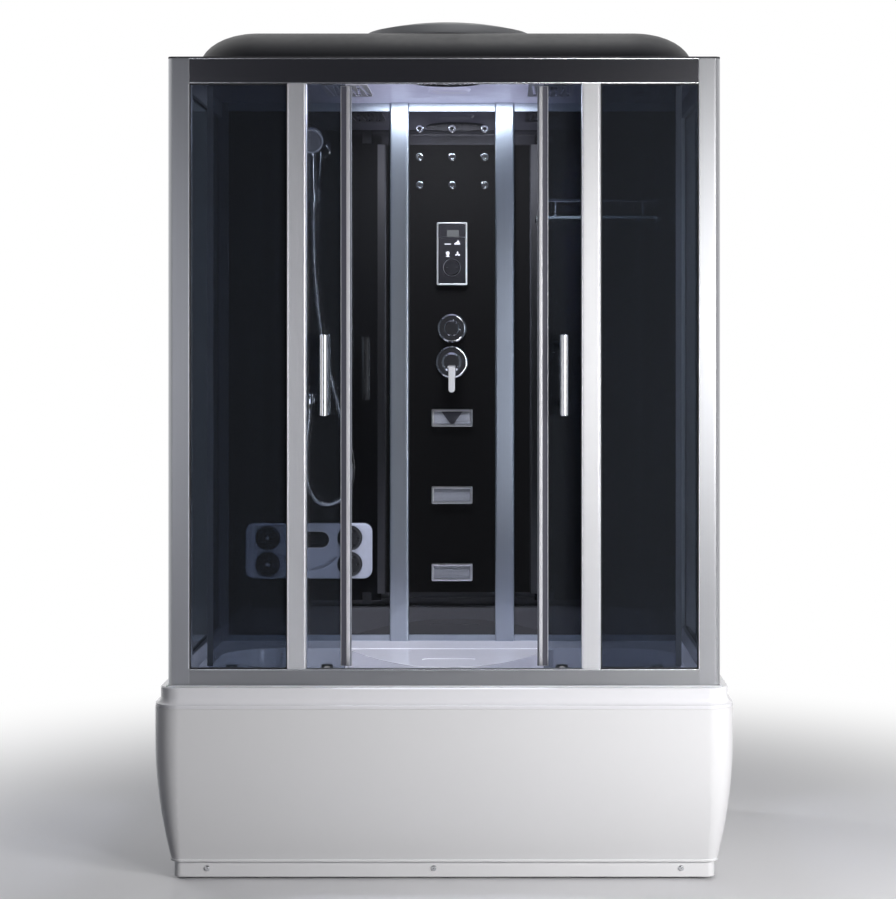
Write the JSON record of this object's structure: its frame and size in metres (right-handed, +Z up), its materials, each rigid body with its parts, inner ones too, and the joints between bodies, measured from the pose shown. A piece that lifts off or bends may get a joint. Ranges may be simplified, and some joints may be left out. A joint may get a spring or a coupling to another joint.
{
  "type": "shower cabin",
  "caption": "Rectangular steam shower cabin with a deep white tub, sliding glass doors, glossy black back wall with a control column, domed roof and hand shower.",
  "frame": {"origin": "on the floor, below the middle of the cabin's overall box", "axes": "+X to the right seen from the front, +Y from the doors to the back wall, +Z up"},
  "size_m": [1.5, 0.9, 2.274],
  "materials": {
    "acrylic": "gloss white sanitary acrylic",
    "skirt": "gloss white moulded skirt",
    "steel": "galvanised steel tube",
    "aluminium": "satin anodised profile",
    "chrome": "polished chrome",
    "tinted_glass": "toughened, grey-blue tint",
    "clear_glass": "clear toughened glass",
    "black_panel": "black back-painted glass",
    "black_plastic": "gloss black face",
    "grey_plastic": "matte grey moulding",
    "white_plastic": "white moulding",
    "seal": "soft seal",
    "brass": "cast brass",
    "board": "pearl grey moulding",
    "roof": "gloss white moulded roof",
    "lamp": "opal diffuser"
  },
  "bodies": {
    "cabin": {"tub": "acrylic", "tub_frame": "steel", "levelling_feet": "grey_plastic", "front_skirt": "skirt", "side_skirts": "skirt", "skirt_screws": "chrome", "waste_fittings": "chrome", "waste_trap": "white_plastic", "front_posts": "aluminium", "back_posts": "aluminium", "top_rail": "aluminium", "low_rail": "aluminium", "side_rails": "aluminium", "fixed_stiles": "aluminium", "fixed_panes": "tinted_glass", "side_panes": "tinted_glass", "back_panels": "black_panel", "back_profiles": "aluminium", "jet_rings": "chrome", "back_jet_frames": "chrome", "back_jet_faces": "grey_plastic", "panel_frame": "chrome", "panel_face": "black_plastic", "control_plates": "chrome", "valves": "brass", "wall_elbow": "chrome", "shower_holder": "chrome", "shower_hose": "chrome", "massage_board": "board", "massage_discs": "grey_plastic", "shelf_glass": "clear_glass", "shelf_rail": "chrome", "grab_rail": "chrome", "roof_shell": "roof", "ceiling": "roof", "rain_shower": "chrome", "ceiling_lamp": "lamp", "ceiling_grilles": "white_plastic", "fan_housing": "grey_plastic"},
    "left_door": {"left_door_glass": "tinted_glass", "left_door_stile": "aluminium", "left_door_seals": "seal", "left_door_handle": "chrome", "left_door_carriers": "grey_plastic"},
    "left_outer_wheel": {"left_wheel_outer": "white_plastic"},
    "left_inner_wheel": {"left_wheel_inner": "white_plastic"},
    "right_door": {"right_door_glass": "tinted_glass", "right_door_stile": "aluminium", "right_door_seals": "seal", "right_door_handle": "chrome", "right_door_carriers": "grey_plastic"},
    "right_outer_wheel": {"right_wheel_outer": "white_plastic"},
    "right_inner_wheel": {"right_wheel_inner": "white_plastic"},
    "plug": {"waste_plug": "chrome"},
    "key": {"round_key": "chrome"},
    "diverter": {"diverter_knob": "chrome"},
    "temperature_cap": {"mixer_cap": "chrome"},
    "flow_lever": {"mixer_lever": "chrome"},
    "handset": {"hand_shower": "chrome"},
    "fan": {"fan_rotor": "black_plastic"}
  },
  "joints": [
    {"name": "left_door_slide", "type": "slide", "parent": "cabin", "child": "left_door", "axis": [1, 0, 0], "range_m": [-0.03, 0.2418]},
    {"name": "right_door_slide", "type": "slide", "parent": "cabin", "child": "right_door", "axis": [-1, 0, 0], "range_m": [-0.03, 0.2418]},
    {"name": "left_outer_wheel_spin", "type": "hinge", "parent": "left_door", "child": "left_outer_wheel", "pos_m": [-0.554, -0.384, 2.10815], "axis": [0, 1, 0], "range_deg": [-150, 1160]},
    {"name": "left_inner_wheel_spin", "type": "hinge", "parent": "left_door", "child": "left_inner_wheel", "pos_m": [-0.306, -0.384, 2.10815], "axis": [0, 1, 0], "range_deg": [-150, 1160]},
    {"name": "right_outer_wheel_spin", "type": "hinge", "parent": "right_door", "child": "right_outer_wheel", "pos_m": [0.554, -0.384, 2.10815], "axis": [0, -1, 0], "range_deg": [-150, 1160]},
    {"name": "right_inner_wheel_spin", "type": "hinge", "parent": "right_door", "child": "right_inner_wheel", "pos_m": [0.306, -0.384, 2.10815], "axis": [0, -1, 0], "range_deg": [-150, 1160]},
    {"name": "plug_lift", "type": "slide", "parent": "cabin", "child": "plug", "axis": [0, 0, 1], "range_m": [0, 0.01]},
    {"name": "key_press", "type": "slide", "parent": "cabin", "child": "key", "axis": [0, 1, 0], "range_m": [0, 0.0015], "stiffness_N_per_m": 600},
    {"name": "diverter_turn", "type": "hinge", "parent": "cabin", "child": "diverter", "pos_m": [0, 0.38, 1.434], "axis": [0, 1, 0], "range_deg": [-60, 60]},
    {"name": "temperature_turn", "type": "hinge", "parent": "cabin", "child": "temperature_cap", "pos_m": [0, 0.36, 1.333], "axis": [0, 1, 0], "range_deg": [-50, 50]},
    {"name": "lever_lift", "type": "hinge", "parent": "temperature_cap", "child": "flow_lever", "pos_m": [0, 0.3561, 1.319], "axis": [-1, 0, 0], "range_deg": [0, 25]},
    {"name": "handset_tilt", "type": "hinge", "parent": "cabin", "child": "handset", "pos_m": [-0.41, 0.372, 1.83], "axis": [1, 0, 0], "range_deg": [-12, 20], "deforming": ["shower_hose"]},
    {"name": "fan_spin", "type": "hinge", "parent": "cabin", "child": "fan", "pos_m": [0.287, 0.07, 2.12], "axis": [0, 0, 1], "continuous": true}
  ],
  "couplings": [
    {"joint": "left_outer_wheel_spin", "follows": "left_door_slide", "rad_per_m": 83.333},
    {"joint": "left_inner_wheel_spin", "follows": "left_door_slide", "rad_per_m": 83.333},
    {"joint": "right_outer_wheel_spin", "follows": "right_door_slide", "rad_per_m": 83.333},
    {"joint": "right_inner_wheel_spin", "follows": "right_door_slide", "rad_per_m": 83.333}
  ]
}
